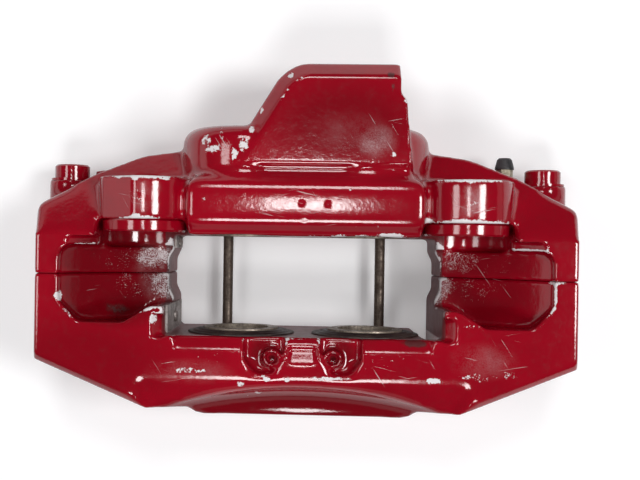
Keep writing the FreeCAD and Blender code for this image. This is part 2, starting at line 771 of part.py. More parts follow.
def inboard_half():
    blank = prism(
        "inboard_blank",
        "top",
        mirrored(
            [
                (D.arch_d_x, D.arch_d_y),
                (D.arch_c_x, D.arch_c_y),
                (D.arch_b_x, D.arch_b_y),
                (D.arch_a_x, D.arch_a_y),
                (D.inner_corner_x, D.inner_corner_y),
                (D.inner_shoulder_x, D.inner_shoulder_y),
                (D.waist_half, 0),
                (D.window_half, 0),
                (D.window_half, D.inner_face),
            ]
        ),
        -BACK_DROP,
        BACK_DROP,
    )
    inner_end = D.arch_d_x.value - 1
    outer_end = D.inner_corner_x.value - 1
    lowest = D.inner_corner_y.value + 1
    rounded = eased("inboard_rounded", blank, D.arch_round, lambda edge: (
        runs("z")(edge) and inner_end < abs(edge.CenterOfMass.x) < outer_end
        and edge.CenterOfMass.y > lowest
    ))
    slope = prism(
        "arch_slope",
        "end",
        [(D.slope_start, 1), (D.slope_start, 0), (D.slope_end, -D.slope_fall), (D.slope_end, 1)],
        -HALF_SPAN - 1,
        HALF_SPAN * 2 + 2,
    )
    arch = cut("arch", common("inboard_trimmed", [rounded, envelope("inboard_envelope")]), [slope])
    band_side = prism(
        "middle_band_side",
        "end",
        [
            (D.inner_face, -30),
            (D.inner_face, -D.band_rise),
            (D.inner_face + D.band_bevel, D.band_rise),
            (D.band_top - D.band_rise, D.band_rise),
            (D.band_top, 0),
            (D.band_top, -30),
        ],
        -D.band_left - 1,
        D.band_left + D.band_right + 2,
    )
    band_plan = box("middle_band_plan", (-D.band_left, D.inner_face, -30),
                    (D.band_right, D.band_top, D.band_rise + 1))
    band_rounded = eased("middle_band_rounded", band_side, D.band_edge, lambda edge: (
        runs("x")(edge) and edge.CenterOfMass.z > -D.band_rise.value - 0.1
    ))
    band_ends = eased("middle_band_ends", band_plan, D.band_round, runs("z"))
    band = common("middle_band", [band_rounded, band_ends])
    bulges = []
    for side in (1, -1):
        housing = rod(
            f"housing_{side}",
            "y",
            D.bulge_radius,
            D.bulge_end - D.inner_face,
            (D.piston_x * side, D.inner_face, -D.piston_z - 2),
        )
        bulges.append(eased(f"housing_rounded_{side}", housing, D.bulge_round, lambda edge: (
            edge.CenterOfMass.y > D.bulge_end.value - 0.1 and not runs("y")(edge)
        )))
    block = prism(
        "cast_block",
        "top",
        [
            (-D.block_foot_left, D.block_foot_y),
            (-D.block_knee_x, D.block_knee_y),
            (-D.block_hip_x, D.block_hip_y),
            (-D.block_top_left, D.block_top),
            (D.block_right, D.block_top),
            (D.block_right, D.block_step_y),
            (D.block_right + D.block_step, D.block_step_y - D.block_step * 0.5),
            (D.block_foot_right, D.block_foot_y),
        ],
        -D.block_base,
        D.block_base,
    )
    block_cornered = eased("cast_block_cornered", block, D.block_round, lambda edge: (
        runs("z")(edge) and edge.CenterOfMass.x < 0 and edge.CenterOfMass.y > D.block_knee_y.value + 1
    ))
    block_bevelled = eased(
        "cast_block_bevelled",
        block_cornered,
        D.block_bevel,
        lambda edge: edge.CenterOfMass.z > -1e-6
        and (edge.CenterOfMass.x < -1 and edge.CenterOfMass.y > D.block_foot_y.value + 1
             or edge.CenterOfMass.y > D.block_top.value - 0.1),
        "Part::Chamfer",
    )
    block_root = box(
        "cast_block_root",
        (-D.block_foot_left, D.band_top - D.band_round, -D.block_base),
        (D.block_foot_right, D.block_foot_y + 4, -D.block_root_sunk),
    )
    lugs = []
    for side in (1, -1):
        x = D.lug_x * side
        lugs += [
            rod(f"lug_{side}", "y", D.lug_radius, D.lug_face - D.lug_start, (x, D.lug_start, -D.lug_z)),
            box(
                f"lug_root_{side}",
                (x - D.lug_root, D.lug_start, -D.lug_z - D.lug_radius),
                (x + D.lug_root, D.lug_face, -D.lug_z),
            ),
            rod(f"end_boss_{side}", "y", D.end_boss_radius, D.lug_face - D.inner_face,
                (D.end_bolt_x * side, D.inner_face, -D.end_bolt_z)),
        ]
    bleed_boss = rod("bleed_boss", "y", D.bleed_boss_radius, D.bleed_boss_top - D.inner_face,
                     (D.bleed_x, D.inner_face, -D.bleed_z))
    hose_boss = rod("hose_boss", "y", D.hose_boss_radius, D.hose_boss_top - D.inner_face,
                    (-D.hose_x, D.inner_face, -D.hose_z))
    body = fuse(
        "inboard_body",
        [arch, band, block_bevelled, block_root, bleed_boss, hose_boss] + bulges + lugs,
    )
    lug_flat = prism(
        "lug_flat",
        "side",
        [
            (-D.lug_x - D.lug_flat_near, D.lug_radius - D.lug_z),
            (-D.lug_x - D.lug_flat_far, D.lug_radius - D.lug_z - D.lug_flat_fall),
            (-D.lug_x - D.lug_radius - 2, D.lug_radius - D.lug_z - D.lug_flat_fall),
            (-D.lug_x - D.lug_radius - 2, D.lug_radius - D.lug_z + 1),
            (-D.lug_x - D.lug_flat_near, D.lug_radius - D.lug_z + 1),
        ],
        D.lug_start - 1,
        D.lug_face - D.lug_start + 2,
    )
    flange_wells = []
    for side in (1, -1):
        x = D.lug_x * side
        room = D.flange_radius + D.flange_room
        flange_wells += [
            rod(f"flange_well_{side}", "y", room, D.lug_start - D.recess_top + 1,
                (x, D.recess_top - 1, -D.lug_z)),
            box(f"flange_mouth_{side}", (x - room, D.recess_top - 1, -D.lug_z),
                (x + room, D.lug_start, 1)),
        ]
    barrel_holes = [
        rod(f"barrel_hole_{side}", "y", D.barrel_radius + D.bush_fit, D.lug_face,
            (D.lug_x * side, 0, -D.lug_z))
        for side in (1, -1)
    ]
    end_wells = [
        rod(f"near_well_{side}", "y", D.near_bolt_well, 60,
            (D.near_bolt_x * side, D.near_bolt_seat, -D.near_bolt_z))
        for side in (1, -1)
    ]
    pin_holes = [
        rod(f"inner_pin_hole_{side}", "y", D.pin_radius + D.slide_fit, D.pin_grip + D.blind_room,
            (D.pin_x * side, D.inner_face, -D.pin_z))
        for side in (1, -1)
    ]
    holes = bolt_holes("inner_bolt", {"end": sized(-1), "near": sized(-1)},
                       {"end": D.lug_face, "near": D.near_bolt_seat + 1})
    galleries = [
        rod("inner_gallery", "x", D.gallery_radius, D.hose_x + D.bleed_x,
            (-D.hose_x, D.inner_gallery, -D.gallery_z)),
        rod("bleed_riser", "z", D.riser_radius, D.bleed_z - D.gallery_z + D.riser_radius,
            (D.bleed_x, D.inner_gallery, -D.bleed_z)),
        rod("hose_riser", "z", D.riser_radius, D.hose_z - D.gallery_z + D.riser_radius,
            (-D.hose_x, D.inner_gallery, -D.hose_z)),
        rod("bleed_hole", "y", D.bleed_thread + D.bleed_fit, D.bleed_deep + D.blind_room,
            (D.bleed_x, D.bleed_boss_top - D.bleed_deep - D.blind_room, -D.bleed_z)),
        rod("hose_hole", "y", D.hose_insert_radius + D.slide_fit, D.hose_deep,
            (-D.hose_x, D.hose_boss_top - D.hose_deep, -D.hose_z)),
    ]
    for side in (1, -1):
        x = D.crossover_x * side
        galleries += [
            rod(f"inner_crossover_{side}", "y", D.riser_radius, D.inner_gallery + D.riser_radius,
                (x, 0, -D.gallery_z)),
            rod(f"ring_well_{side}", "y", D.ring_radius + D.ring_section + D.groove_fit,
                D.ring_section * 2 + D.groove_fit, (x, 0, -D.gallery_z)),
        ]
    boot_wells = [
        rod(f"boot_well_{side}", "y", D.boot_radius + D.groove_fit, D.boot_sunk + 1,
            (D.piston_x * side, D.inner_face - 1, -D.piston_z))
        for side in (1, -1)
    ]
    casting = cut(
        "inboard_casting",
        body,
        [recess, shelf, notch, window, lug_flat]
        + end_slopes + boot_wells + flange_wells + barrel_holes + end_wells + pin_holes
        + holes + galleries + [plate_screw_hole("inboard")]
        + cylinders("inner", D.inner_face + D.boot_sunk, 1),
    )
    finish("inboard_half", casting)


# ---- pistons, seals and boots


def piston(name, place, flipped):
    radius = D.piston_radius
    neck = radius - D.boot_groove_depth
    groove_end = D.boot_groove_start + D.boot_groove_width
    body = turned(
        name,
        [
            (D.cup_radius, 0),
            (radius, 0),
            (radius, D.boot_groove_start),
            (neck, D.boot_groove_start),
            (neck, groove_end),
            (radius, groove_end),
            (radius, D.piston_length),
            (0, D.piston_length),
            (0, D.cup_depth),
            (D.cup_radius, D.cup_depth),
        ],
    )
    finish(name, body, place, flipped)


def piston_seal(name, place, flipped):
    inner = D.piston_radius + D.slide_fit
    outer = D.piston_radius + D.seal_thick
    body = turned(name, [(inner, 0), (outer, 0), (outer, D.seal_width), (inner, D.seal_width)])
    finish(name, body, place, flipped)


def dust_boot(name, place, flipped):
    """A stepped rubber ring from the piston's groove down to the casting's face."""
    lip = D.boot_groove_start + D.groove_fit - D.piston_proud
    neck = D.piston_radius - D.boot_groove_depth + D.groove_fit
    step = D.piston_radius + D.boot_step
    body = turned(
        name,
        [
            (neck, lip),
            (step, lip),
            (step + 1, -D.boot_skin),
            (D.boot_radius, -D.boot_skin),
            (D.boot_radius, 0),
            (D.piston_radius + D.groove_fit, 0),
            (D.piston_radius + D.groove_fit, lip + D.boot_skin),
            (neck, lip + D.boot_skin),
        ],
    )
    finish(name, body, place, flipped)


def cylinder_sets():
    for row, face, way in (("inboard", D.inner_face + D.boot_sunk, 1), ("outboard", -D.outer_face, -1)):
        for side, x in (("left", -D.piston_x), ("right", D.piston_x)):
            flipped = way < 0
            place = f"{row}_{side}"
            piston(f"piston_{place}", (x, face - D.piston_proud * way, -D.piston_z), flipped)
            piston_seal(f"piston_seal_{place}", (x, face + D.seal_depth * way, -D.piston_z), flipped)
            dust_boot(f"dust_boot_{place}", (x, face, -D.piston_z), flipped)


# ---- bolts, bushes and pins


def bridge_bolts(name, x, z, seat, grip, washer):
    """Two socket-head bolts, one each side, whose heads seat at the same height."""
    head = D.washer_thick + D.bolt_head_tall
    shank = turned(
        f"{name}_turned",
        [
            (0, -seat - grip),
            (D.bolt_radius - 1, -seat - grip),
            (D.bolt_radius, -seat - grip + 1),
            (D.bolt_radius, 0),
            (washer, 0),
            (washer, D.washer_thick),
            (D.bolt_head_radius, D.washer_thick),
            (D.bolt_head_radius, head - 1),
            (D.bolt_head_radius - 1, head),
            (0, head),
        ],
    )
    socket = hexagon(f"{name}_socket", "y", D.bolt_socket, D.bolt_head_tall,
                     (0, D.washer_thick + D.socket_floor, 0))
    bolt = cut(f"{name}_bolt", shank, [socket])
    set_base(bolt, (x, seat, -z))
    finish(name, pair(name, bolt))


def mounting_bush(name, side):
    edge = 1.0
    body = turned(
        name,
        [
            (D.mount_thread, 0),
            (D.flange_radius - edge, 0),
            (D.flange_radius, edge),
            (D.flange_radius, D.flange_thick - edge),
            (D.flange_radius - edge, D.flange_thick),
            (D.barrel_radius, D.flange_thick),
            (D.barrel_radius, D.flange_thick + D.lug_face - D.lug_start),
            (D.mount_thread, D.flange_thick + D.lug_face - D.lug_start),
        ],
    )
    finish(name, body, (D.lug_x * side, D.lug_start - D.flange_thick, -D.lug_z))


def pad_pin(name, side):
    """A pad pin with its head in the outboard casting and its tip in the inboard one."""
    length = D.lip_reach + D.inner_face + D.pin_grip
    body = turned(
        name,
        [
            (0, 0),
            (D.pin_head_radius, 0),
            (D.pin_head_radius, D.pin_head_thick - D.slide_fit),
            (D.pin_radius, D.pin_head_thick - D.slide_fit),
            (D.pin_radius, length - 1),
            (D.pin_radius - 1, length),
            (0, length),
        ],
    )
    finish(name, body, (D.pin_x * side, -D.lip_reach, -D.pin_z))


def pin_sleeve(name, side):
    """A split spring sleeve that grips the pin beside its head."""
    tube = rod(f"{name}_tube", "y", D.pin_sleeve_radius, D.pin_sleeve_length - 1, (0, 0, 0))
    hole = rod(f"{name}_hole", "y", D.pin_radius + 0.01, D.pin_sleeve_length, (0, 0, 0))
    slot = box(f"{name}_slot", (-D.pin_sleeve_slot * 0.5, -1, 0),
               (D.pin_sleeve_slot * 0.5, D.pin_sleeve_length, D.pin_sleeve_radius + 1))
    body = cut(name, tube, [hole, slot])
    finish(name, body, (D.pin_x * side, -D.lip_reach + D.pin_head_thick + 0.1, -D.pin_z))


# ---- pad abutment plates on the left wall of the window


def plate_screw_place(row):
    """The height along Y and Z of the screw in the inboard or outboard plate."""
    if row == "inboard":
        return D.inner_face - D.inner_plate_width * 0.5, -(D.inner_plate_top + D.plate_foot) * 0.5
    return -(D.horn_reach + D.outer_face) * 0.5, -(D.outer_plate_top + D.plate_foot) * 0.5


def plate_screw_hole(row):
    deep = D.plate_screw_length + D.blind_room
    y, z = plate_screw_place(row)
    return rod(f"plate_screw_hole_{row}", "x", D.plate_screw_radius + D.slide_fit, deep,
               (-D.window_half - deep, y, z))


def abutment_plate(row, y_low, y_high, top):
    name = f"abutment_plate_{row}"
    y, z = plate_screw_place(row)
    blank = box(f"{name}_blank", (-D.window_half, y_low, -D.plate_foot),
                (-D.window_half + D.plate_thick, y_high, -top))
    hole = rod(f"{name}_hole", "x", D.plate_screw_radius + D.slide_fit, 6, (-D.window_half - 1, y, z))
    finish(name, cut(name, blank, [hole]))


def abutment_screws():
    screws = []
    for i, row in enumerate(("inboard", "outboard")):
        blank = turned(
            f"plate_screw_{i}",
            [
                (0, -D.plate_screw_length),
                (D.plate_screw_radius, -D.plate_screw_length),
                (D.plate_screw_radius, D.plate_thick),
                (D.plate_screw_head, D.plate_thick),
                (D.plate_screw_head, D.plate_thick + D.plate_screw_tall * 0.5),
                (D.plate_screw_head - 1, D.plate_thick + D.plate_screw_tall),
                (0, D.plate_thick + D.plate_screw_tall),
            ],
        )
        blank.Placement = FreeCAD.Placement(VECTOR(), FreeCAD.Rotation(ALONG["y"], ALONG["x"]))
        socket = hexagon(f"plate_screw_socket_{i}", "x", D.plate_screw_socket, D.plate_screw_tall * 2,
                         (D.plate_thick + D.plate_screw_tall * 0.25, 0, 0))
        screw = cut(f"plate_screw_cut_{i}", blank, [socket])
        set_base(screw, (-D.window_half,) + plate_screw_place(row))
        screws.append(screw)
    group = doc.addObject("Part::Compound", "abutment_screws")
    group.Links = screws
    finish("abutment_screws", group)


# ---- hydraulics


def passage_plugs():
    tall = D.plug_length - D.plug_chamfer
    blank = rod("plug_blank", "z", D.plug_radius, tall, (0, 0, 0))
    socket = hexagon("plug_socket_tool", "z", D.plug_socket, D.plug_socket_deep + 1,
                     (0, 0, tall - D.plug_socket_deep))
    plug = cut("plug", blank, [socket])
    set_base(plug, (D.plug_x, -D.plug_y, -D.plug_boss_sunk - D.plug_sunk - D.plug_length))
    finish("passage_plugs", pair("passage_plugs", plug))


def crossover_seals():
    ring = doc.addObject("Part::Torus", "crossover_ring")
    ring.Placement = FreeCAD.Placement(VECTOR(), FreeCAD.Rotation(ALONG["z"], ALONG["y"]))
    bind(ring, "Radius1", D.ring_radius)
    bind(ring, "Radius2", D.ring_section)
    set_base(ring, (D.crossover_x, D.ring_section + D.groove_fit * 0.5, -D.gallery_z))
    finish("crossover_seals", pair("crossover_seals", ring))


def hose_insert():
    """The steel thread that the brake hose screws into."""
    outside = rod("hose_insert_outside", "y", D.hose_insert_radius, D.hose_deep, (0, 0, 0))
    thread = rod("hose_insert_thread", "y", D.hose_thread, D.hose_deep + 2, (0, -1, 0))
    body = cut("hose_insert", outside, [thread])
    finish("hose_insert", body, (-D.hose_x, D.hose_boss_top - D.hose_deep, -D.hose_z))


def bleed_screw():
    tip = D.bleed_thread * 0.5
    turned_part = turned(
        "bleed_screw_turned",
        [
            (0, -D.bleed_deep),
            (D.bleed_thread - tip, -D.bleed_deep),
            (D.bleed_thread, -D.bleed_deep + tip),
            (D.bleed_thread, D.bleed_gap),
            (D.bleed_nipple, D.bleed_gap),
            (D.bleed_nipple, D.bleed_tall - D.bleed_neck),
            (D.bleed_nipple + D.bleed_lip, D.bleed_tall - D.bleed_crown),
            (D.bleed_nipple - D.bleed_lip, D.bleed_tall),
            (0, D.bleed_tall),
        ],
    )
    nut = hexagon("bleed_screw_hex", "y", D.bleed_hex, D.bleed_hex_tall, (0, D.bleed_gap, 0))
    drilling = rod("bleed_screw_drilling", "y", D.bleed_drilling, D.bleed_tall, (0, D.bleed_gap, 0))
    body = cut("bleed_screw", fuse("bleed_screw_blank", [turned_part, nut]), [drilling])
    finish("bleed_screw", body, (D.bleed_x, D.bleed_boss_top, -D.bleed_z))


def bleed_cap():
    hold = D.bleed_nipple + D.bleed_lip + D.cap_fit
    roof = D.bleed_tall + D.cap_fit * 4
    top = D.bleed_tall + D.cap_wall
    body = turned(
        "bleed_cap",
        [
            (hold, D.cap_start),
            (D.cap_foot_radius, D.cap_start),
            (D.cap_foot_radius, D.cap_start + 1),
            (D.cap_top_radius, top - 1),
            (D.cap_top_radius - 1, top),
            (0, top),
            (0, roof),
            (hold, roof),
        ],
    )
    finish("bleed_cap", body, (D.bleed_x, D.bleed_boss_top, -D.bleed_z))


outboard_half()
inboard_half()
cylinder_sets()
bridge_bolts("bridge_bolts_outer", D.end_bolt_x, D.end_bolt_z, D.lug_face, D.end_bolt_grip,
             D.end_washer_radius)
bridge_bolts("bridge_bolts_inner", D.near_bolt_x, D.near_bolt_z, D.near_bolt_seat, D.near_bolt_grip,
             D.near_washer_radius)
for side_name, side_sign in (("left", -1), ("right", 1)):
    mounting_bush(f"mounting_bush_{side_name}", side_sign)
    pad_pin(f"pad_pin_{side_name}", side_sign)
    pin_sleeve(f"pin_sleeve_{side_name}", side_sign)
abutment_plate("inboard", D.inner_face - D.inner_plate_width, D.inner_face, D.inner_plate_top)
abutment_plate("outboard", -D.outer_face, -D.horn_reach, D.outer_plate_top)
abutment_screws()
passage_plugs()
crossover_seals()
hose_insert()
bleed_screw()
bleed_cap()
doc.recompute()

for thing in doc.Objects:
    if "Invalid" in thing.State or "Error" in thing.State:
        raise RuntimeError(f"{thing.Name} failed: {thing.State}")
for part in PARTS:
    if part.Shape.isNull() or not part.Shape.isValid():
        raise RuntimeError(f"{part.Label} has no valid shape")

os.makedirs("parts", exist_ok=True)
for part in PARTS:
    part.Shape.exportStep(f"parts/{part.Label}.step")
    bounds = part.Shape.BoundBox
    print(f"{part.Label}: {len(part.Shape.Solids)} solids, {part.Shape.Volume / 1000:.2f} cm3,"
          f" x {bounds.XMin:.1f}..{bounds.XMax:.1f}, y {bounds.YMin:.1f}..{bounds.YMax:.1f},"
          f" z {bounds.ZMin:.1f}..{bounds.ZMax:.1f}")
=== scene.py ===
"""Looks of a used two-piece brake caliper in glossy red, lying on its back on a white bench.

X runs along the caliper, Y along the disc's axle and Z up, away from the bench.
"""

import json
import math

import bpy
import numpy as np
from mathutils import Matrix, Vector

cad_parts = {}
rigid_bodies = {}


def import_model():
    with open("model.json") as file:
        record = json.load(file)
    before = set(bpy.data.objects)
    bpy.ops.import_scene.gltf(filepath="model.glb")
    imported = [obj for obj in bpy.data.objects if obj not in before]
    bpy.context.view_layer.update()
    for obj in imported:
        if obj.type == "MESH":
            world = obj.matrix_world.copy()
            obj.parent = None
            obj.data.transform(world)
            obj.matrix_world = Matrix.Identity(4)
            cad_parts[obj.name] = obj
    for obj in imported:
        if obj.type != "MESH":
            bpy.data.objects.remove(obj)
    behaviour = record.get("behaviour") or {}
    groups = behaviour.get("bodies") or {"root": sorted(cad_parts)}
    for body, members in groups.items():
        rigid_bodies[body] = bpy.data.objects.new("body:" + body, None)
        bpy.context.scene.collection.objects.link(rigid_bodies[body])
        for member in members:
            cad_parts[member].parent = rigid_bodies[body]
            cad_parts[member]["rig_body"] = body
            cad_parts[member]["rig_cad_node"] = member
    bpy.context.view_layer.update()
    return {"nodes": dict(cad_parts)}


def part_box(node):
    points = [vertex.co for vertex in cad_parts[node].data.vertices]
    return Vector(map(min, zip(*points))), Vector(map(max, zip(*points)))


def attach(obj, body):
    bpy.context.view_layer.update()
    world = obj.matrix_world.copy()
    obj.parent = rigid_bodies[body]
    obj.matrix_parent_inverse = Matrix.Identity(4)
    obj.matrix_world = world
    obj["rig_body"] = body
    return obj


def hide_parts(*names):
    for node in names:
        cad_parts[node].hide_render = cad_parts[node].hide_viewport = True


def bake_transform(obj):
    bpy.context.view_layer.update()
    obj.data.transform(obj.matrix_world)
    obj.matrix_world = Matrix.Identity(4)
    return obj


MM = 0.001

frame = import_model()
NODES = frame["nodes"]

# ---- places, read from the frame

OUTBOARD_LOW, OUTBOARD_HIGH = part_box("outboard_half")
INBOARD_LOW, INBOARD_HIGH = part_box("inboard_half")
JOINT_Y = OUTBOARD_HIGH.y
NEAR_Z = OUTBOARD_HIGH.z
BENCH_Z = INBOARD_LOW.z


def at(x, y, z=0.0):
    """A point given in mm from the joint plane and the near face."""
    return Vector((x * MM, JOINT_Y + y * MM, NEAR_Z + z * MM))


# ---- small modelling helpers


def deselect():
    if bpy.context.mode != "OBJECT":
        bpy.ops.object.mode_set(mode="OBJECT")
    bpy.ops.object.select_all(action="DESELECT")


def choose(piece):
    deselect()
    piece.select_set(True)
    bpy.context.view_layer.objects.active = piece


def settle(piece):
    """Puts the piece's place into its mesh."""
    choose(piece)
    bpy.ops.object.transform_apply(location=True, rotation=True, scale=True)


def finish_modifier(piece, kind, **settings):
    choose(piece)
    modifier = piece.modifiers.new(kind.title(), kind)
    for name, value in settings.items():
        setattr(modifier, name, value)
    bpy.ops.object.modifier_apply(modifier=modifier.name)


def copy_of(node, name):
    """A merged copy of a frame part, free to be reshaped."""
    source = NODES[node]
    piece = source.copy()
    piece.data = source.data.copy()
    piece.name = name
    piece.parent = None
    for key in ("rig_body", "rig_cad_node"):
        if key in piece:
            del piece[key]
    bpy.context.scene.collection.objects.link(piece)
    choose(piece)
    bpy.ops.object.mode_set(mode="EDIT")
    bpy.ops.mesh.select_all(action="SELECT")
    bpy.ops.mesh.remove_doubles(threshold=1e-6)
    bpy.ops.object.mode_set(mode="OBJECT")
    return piece


RING_CORNERS = 96


def ring_stack(name, centre, steps):
    """A closed skin turned about Y, grown ring by ring from (radius, height) steps in mm."""
    deselect()
    radius, height = steps[0]
    start = centre + Vector((0, height * MM, 0))
    bpy.ops.mesh.primitive_circle_add(
        vertices=RING_CORNERS, radius=radius * MM, location=start, rotation=(math.pi / 2, 0, 0)
    )
    piece = bpy.context.object
    piece.name = name
    bpy.ops.object.mode_set(mode="EDIT")
    bpy.ops.mesh.select_all(action="SELECT")
    for (old_radius, old_height), (new_radius, new_height) in zip(steps, steps[1:]):
        rise = (new_height - old_height) * MM
        bpy.ops.mesh.extrude_region_move(TRANSFORM_OT_translate={"value": (0, rise, 0)})
        growth = new_radius / old_radius
        bpy.ops.transform.resize(
            value=(growth, 1, growth), center_override=centre + Vector((0, new_height * MM, 0))
        )
    bpy.ops.mesh.select_all(action="SELECT")
    bpy.ops.mesh.remove_doubles(threshold=1e-6)
    bpy.ops.mesh.fill_holes(sides=0)
    bpy.ops.mesh.normals_make_consistent(inside=False)
    bpy.ops.object.mode_set(mode="OBJECT")
    settle(piece)
    return piece


def points_of(piece):
    co = np.zeros(len(piece.data.vertices) * 3, np.float32)
    piece.data.vertices.foreach_get("co", co)
    return co.reshape(-1, 3).astype(float)


def normals_of(piece):
    normal = np.zeros(len(piece.data.vertices) * 3, np.float32)
    piece.data.vertices.foreach_get("normal", normal)
    return normal.reshape(-1, 3).astype(float)


def store(piece, name, values):
    attribute = piece.data.attributes.new(name, "FLOAT", "POINT")
    attribute.data.foreach_set("value", np.asarray(values, np.float32))


def standing_out(piece, turns=4):
    """How far each point stands proud of its surroundings, in mm. Hollows are negative."""
    co = points_of(piece)
    normal = normals_of(piece)
    ends = np.zeros(len(piece.data.edges) * 2, np.int64)
    piece.data.edges.foreach_get("vertices", ends)
    ends = ends.reshape(-1, 2)
    count = np.bincount(ends.ravel(), minlength=len(co)).astype(float)[:, None]
    soft = co.copy()
    for _ in range(turns):
        total = np.zeros_like(soft)
        np.add.at(total, ends[:, 0], soft[ends[:, 1]])
        np.add.at(total, ends[:, 1], soft[ends[:, 0]])
        soft = total / np.maximum(count, 1)
    return np.einsum("ij,ij->i", co - soft, normal) / MM


SPOT_STEEPNESS = 1.6


def nearness(co, point, reach):
    """1 round a point, falling to 0 at its reach along X, Y and Z (mm)."""
    away = np.linalg.norm((co - np.array(point)) / (np.array(reach) * MM), axis=1)
    return np.clip(SPOT_STEEPNESS * (1 - away), 0, 1)


def inside(co, low, high, fade):
    """1 inside a box given by two corners in mm, falling to 0 over the fade outside it."""
    beyond = np.maximum(np.array(at(*low)) - co, co - np.array(at(*high))).max(axis=1)
    return np.clip(1 - beyond / (fade * MM), 0, 1)


def most_near(co, spots):
    """The greatest of several spots, each (x, y, z, reach x, reach y, reach z, amount)."""
    total = np.zeros(len(co))
    for x, y, z, reach_x, reach_y, reach_z, amount in spots:
        spot = nearness(co, at(x, y, z), (reach_x, reach_y, reach_z)) * amount
        total = np.maximum(total, spot)
    return total


# ---- shader maths


class Wire:
    """A shader socket that works in sums: an expression adds its Math nodes."""

    def __init__(self, tree, socket):
        self.tree = tree
        self.socket = socket

    def maths(self, operation, *others):
        return make(self.tree, "ShaderNodeMath", {"operation": operation}, [self, *others])

    def __add__(self, other):
        return self.maths("ADD", other)

    __radd__ = __add__

    def __sub__(self, other):
        return self.maths("SUBTRACT", other)

    def __rsub__(self, other):
        return make(self.tree, "ShaderNodeMath", {"operation": "SUBTRACT"}, [other, self])

    def __mul__(self, other):
        return self.maths("MULTIPLY", other)

    __rmul__ = __mul__

    def ramp(self, low, high):
        """0 below low, 1 above high and even between."""
        values = {"Value": self, "From Min": low, "From Max": high}
        return make(self.tree, "ShaderNodeMapRange", {"clamp": True}, values)

    def most(self, other):
        return self.maths("MAXIMUM", other)


def make(tree, kind, settings, values, output=0):
    """Adds a node, sets it up and fills its sockets with values or links."""
    node = tree.nodes.new(kind)
    for name, value in settings.items():
        setattr(node, name, value)
    pairs = values.items() if isinstance(values, dict) else enumerate(values)
    for key, value in pairs:
        if isinstance(value, Wire):
            tree.links.new(value.socket, node.inputs[key])
        elif isinstance(value, tuple) and len(value) == 3 and node.inputs[key].type == "RGBA":
            node.inputs[key].default_value = (*value, 1.0)
        else:
            node.inputs[key].default_value = value
    return Wire(tree, node.outputs[output])


# a colour Mix node has sockets of one name for each data type, so its own are told by number
MIX_FIRST = 6
MIX_SECOND = 7
MIX_RESULT = 2


class Finish:
    """A material under way: a tree, its Principled shader and the patterns it draws on."""

    def __init__(self, name, colour, roughness, metallic, **fixed):
        self.material = bpy.data.materials.new(name)
        self.material.use_nodes = True
        self.tree = self.material.node_tree
        self.shader = self.tree.nodes["Principled BSDF"]
        self.set("Base Color", colour)
        self.set("Roughness", roughness)
        self.set("Metallic", metallic)
        for key, value in fixed.items():
            self.set(key.replace("_", " "), value)
        self.place = make(self.tree, "ShaderNodeTexCoord", {}, {}, "Object")

    def set(self, socket, value):
        target = self.shader.inputs[socket]
        if isinstance(value, Wire):
            self.tree.links.new(value.socket, target)
        elif isinstance(value, tuple) and len(value) == 3:
            target.default_value = (*value, 1.0)
        else:
            target.default_value = value

    def node(self, kind, settings, values, output=0):
        return make(self.tree, kind, settings, values, output)

    def noise(self, per_metre, detail=3.0, rough=0.55, stretch=(1, 1, 1), shift=0.0, turn=0.0):
        place = self.place
        if turn:
            place = self.node("ShaderNodeMapping", {}, {"Vector": place, "Rotation": (0, 0, turn)})
        if shift:
            place = self.node(
                "ShaderNodeMapping", {}, {"Vector": place, "Scale": stretch, "Location": (shift,) * 3}
            )
        values = {"Vector": place, "Scale": per_metre, "Detail": detail, "Roughness": rough}
        return self.node("ShaderNodeTexNoise", {}, values, "Fac")

    def mix(self, mask, first, second):
        """Colours: the first where the mask is 0, the second where it is 1."""
        values = {"Factor": mask, MIX_FIRST: first, MIX_SECOND: second}
        return self.node("ShaderNodeMix", {"data_type": "RGBA"}, values, MIX_RESULT)

    def attribute(self, name):
        return self.node("ShaderNodeAttribute", {"attribute_name": name}, {}, "Fac")

    def bump(self, height, depth_mm, strength):
        values = {"Height": height, "Distance": depth_mm * MM, "Strength": strength}
        self.set("Normal", self.node("ShaderNodeBump", {}, values))


def dress(piece, finish):
    piece.data.materials.clear()
    piece.data.materials.append(finish.material)


# ---- camera

CAMERA_TALL = 530 * MM
CAMERA_OVER_Y = 18.4
SENSOR = 36.0
LENS = 55.6875
SHIFT_RIGHT = 0.025
ROLL = math.radians(0.9)
LEAN_RIGHT = math.radians(-2.6)
LEAN_UP = math.radians(0.17)

# ---- bench

BENCH_SIZE = 6.0
BENCH_GAP = 0.2 * MM
BENCH_WHITE = (0.86, 0.86, 0.87, 1)
BENCH_ROUGHNESS = 0.8
BENCH_GLOW = 0.17

# ---- lights: low strips and high lamps on four sides, and one small lamp over the middle band

WORLD_TINT = (0.95, 0.97, 1.0, 1)
WORLD_ON_OBJECT = 0.05
WORLD_SEEN = 0.95
AIM_DEPTH = -20
STRIP_AWAY = 1.7
STRIP_HEIGHT = 0.30
STRIP_SIZE = (2.0, 0.5)
LAMP_AWAY_X = 1.06
LAMP_AWAY_Y = 1.0
LAMP_HEIGHT = 1.68
LAMP_SIZE = (0.50, 0.50)
OVER_X = 6
OVER_Y = 92
OVER_HEIGHT = 1.5
OVER_SIZE = (0.18, 0.07)
OVER_POWER = 1.15

# name, side along X and Y, the strip's own step along X, power of the strip and of the lamp
SIDES = (
    ("left", -1.0, 0.0, 0.0, 2.8, 6.0),
    ("right", 1.0, 0.0, 0.0, 1.0, 17.0),
    ("far", 0.0, 1.0, -1.0, 2.0, 8.5),
    ("close", 0.0, -1.0, 0.0, 1.0, 13.0),
)


